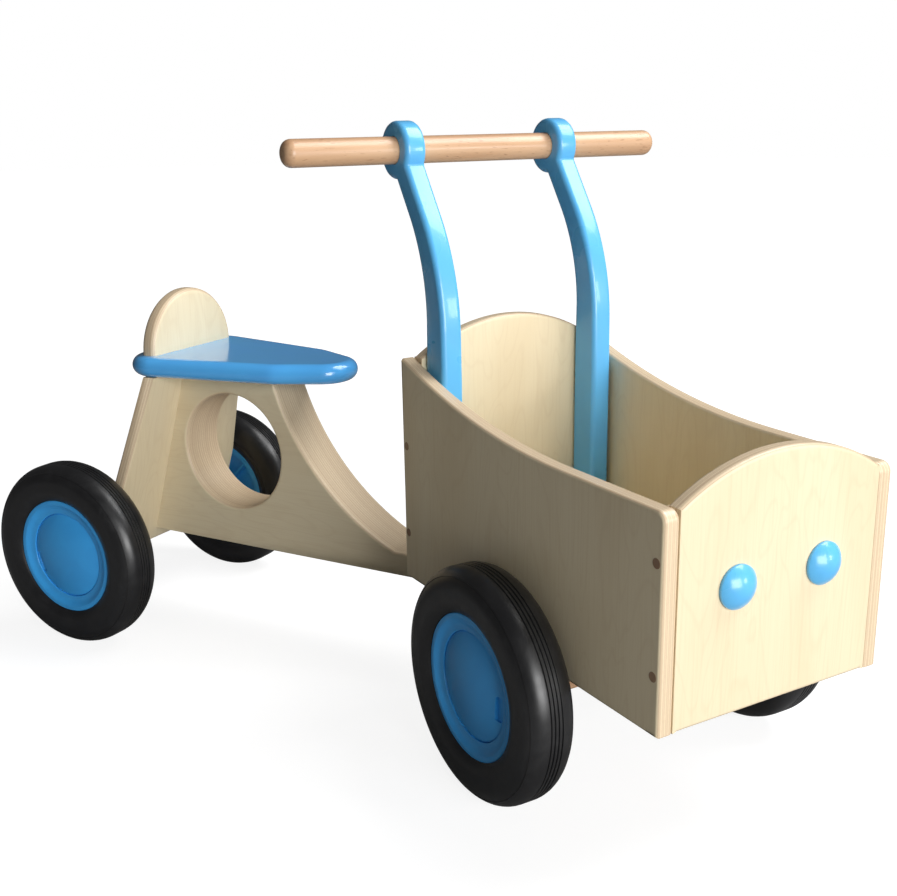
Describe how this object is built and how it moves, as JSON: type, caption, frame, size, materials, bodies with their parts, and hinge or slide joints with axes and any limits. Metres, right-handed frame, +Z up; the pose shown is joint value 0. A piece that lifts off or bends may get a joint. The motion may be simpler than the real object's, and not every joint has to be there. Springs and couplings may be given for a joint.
{
  "type": "children's cargo tricycle",
  "caption": "Wooden ride-on for a small child: a plywood cargo box on two wheels steers under a handlebar, ahead of a seat on a swept frame with rear wheels.",
  "frame": {"origin": "on the ground, under the middle of the whole object's bounding box with the cargo box turned to the right", "axes": "+X the way the cargo box faces, +Y to the cargo box's left, +Z up; the seat frame points 30.7 degrees to the left of +X"},
  "size_m": [0.7765, 0.5268, 0.4645],
  "materials": {
    "birch_ply": "clear satin lacquer on birch plywood",
    "beech": "clear satin lacquer on solid beech",
    "sky_paint": "sky-blue gloss paint on plywood",
    "seat_paint": "azure gloss paint on plywood",
    "hub_plastic": "moulded azure plastic",
    "tyre": "black rubber with fine ribs round the tread",
    "steel": "zinc-plated steel",
    "nylon": "natural nylon"
  },
  "bodies": {
    "frame": {"main_panel": "birch_ply", "kingpin_bush": "nylon", "thrust_washer": "nylon", "rear_board": "birch_ply", "board_screws": "steel", "seat": "seat_paint", "seat_dowels": "beech", "backrest": "birch_ply", "backrest_dowels": "beech", "rear_axle_block": "beech", "rear_block_screws": "steel", "rear_axle": "steel", "rear_axle_washers": "steel", "rear_axle_nuts": "steel"},
    "cargo_box": {"side_panel_right": "birch_ply", "side_panel_left": "birch_ply", "front_panel": "birch_ply", "rear_panel": "birch_ply", "floor_panel": "birch_ply", "panel_screws": "steel", "screw_plugs": "beech", "headlight_knob_right": "sky_paint", "headlight_knob_left": "sky_paint", "handle_arm_right": "sky_paint", "handle_arm_left": "sky_paint", "arm_screws": "steel", "handlebar": "beech", "handlebar_pins": "beech", "front_axle_block": "beech", "front_block_screws": "steel", "front_axle": "steel", "front_axle_washers": "steel", "front_axle_nuts": "steel", "kingpin_bolt": "steel", "kingpin_washers": "steel", "kingpin_nut": "steel"},
    "front_right_wheel": {"front_right_tyre": "tyre", "front_right_hub": "hub_plastic", "front_right_cap": "hub_plastic", "front_right_bush": "nylon"},
    "front_left_wheel": {"front_left_tyre": "tyre", "front_left_hub": "hub_plastic", "front_left_cap": "hub_plastic", "front_left_bush": "nylon"},
    "rear_right_wheel": {"rear_right_tyre": "tyre", "rear_right_hub": "hub_plastic", "rear_right_cap": "hub_plastic", "rear_right_bush": "nylon"},
    "rear_left_wheel": {"rear_left_tyre": "tyre", "rear_left_hub": "hub_plastic", "rear_left_cap": "hub_plastic", "rear_left_bush": "nylon"}
  },
  "joints": [
    {"name": "steering", "type": "hinge", "parent": "frame", "child": "cargo_box", "pos_m": [0.09026, 0.0914, 0.083], "axis": [0, 0, 1], "range_deg": [-14.3, 75.7]},
    {"name": "front_right_spin", "type": "hinge", "parent": "cargo_box", "child": "front_right_wheel", "pos_m": [0.22666, 0.0914, 0.085], "axis": [0, 1, 0], "continuous": true},
    {"name": "front_left_spin", "type": "hinge", "parent": "cargo_box", "child": "front_left_wheel", "pos_m": [0.22666, 0.0914, 0.085], "axis": [0, 1, 0], "continuous": true},
    {"name": "rear_right_spin", "type": "hinge", "parent": "frame", "child": "rear_right_wheel", "pos_m": [-0.25384, -0.11292, 0.085], "axis": [-0.5105, 0.8599, 0], "continuous": true},
    {"name": "rear_left_spin", "type": "hinge", "parent": "frame", "child": "rear_left_wheel", "pos_m": [-0.25384, -0.11292, 0.085], "axis": [-0.5105, 0.8599, 0], "continuous": true}
  ]
}
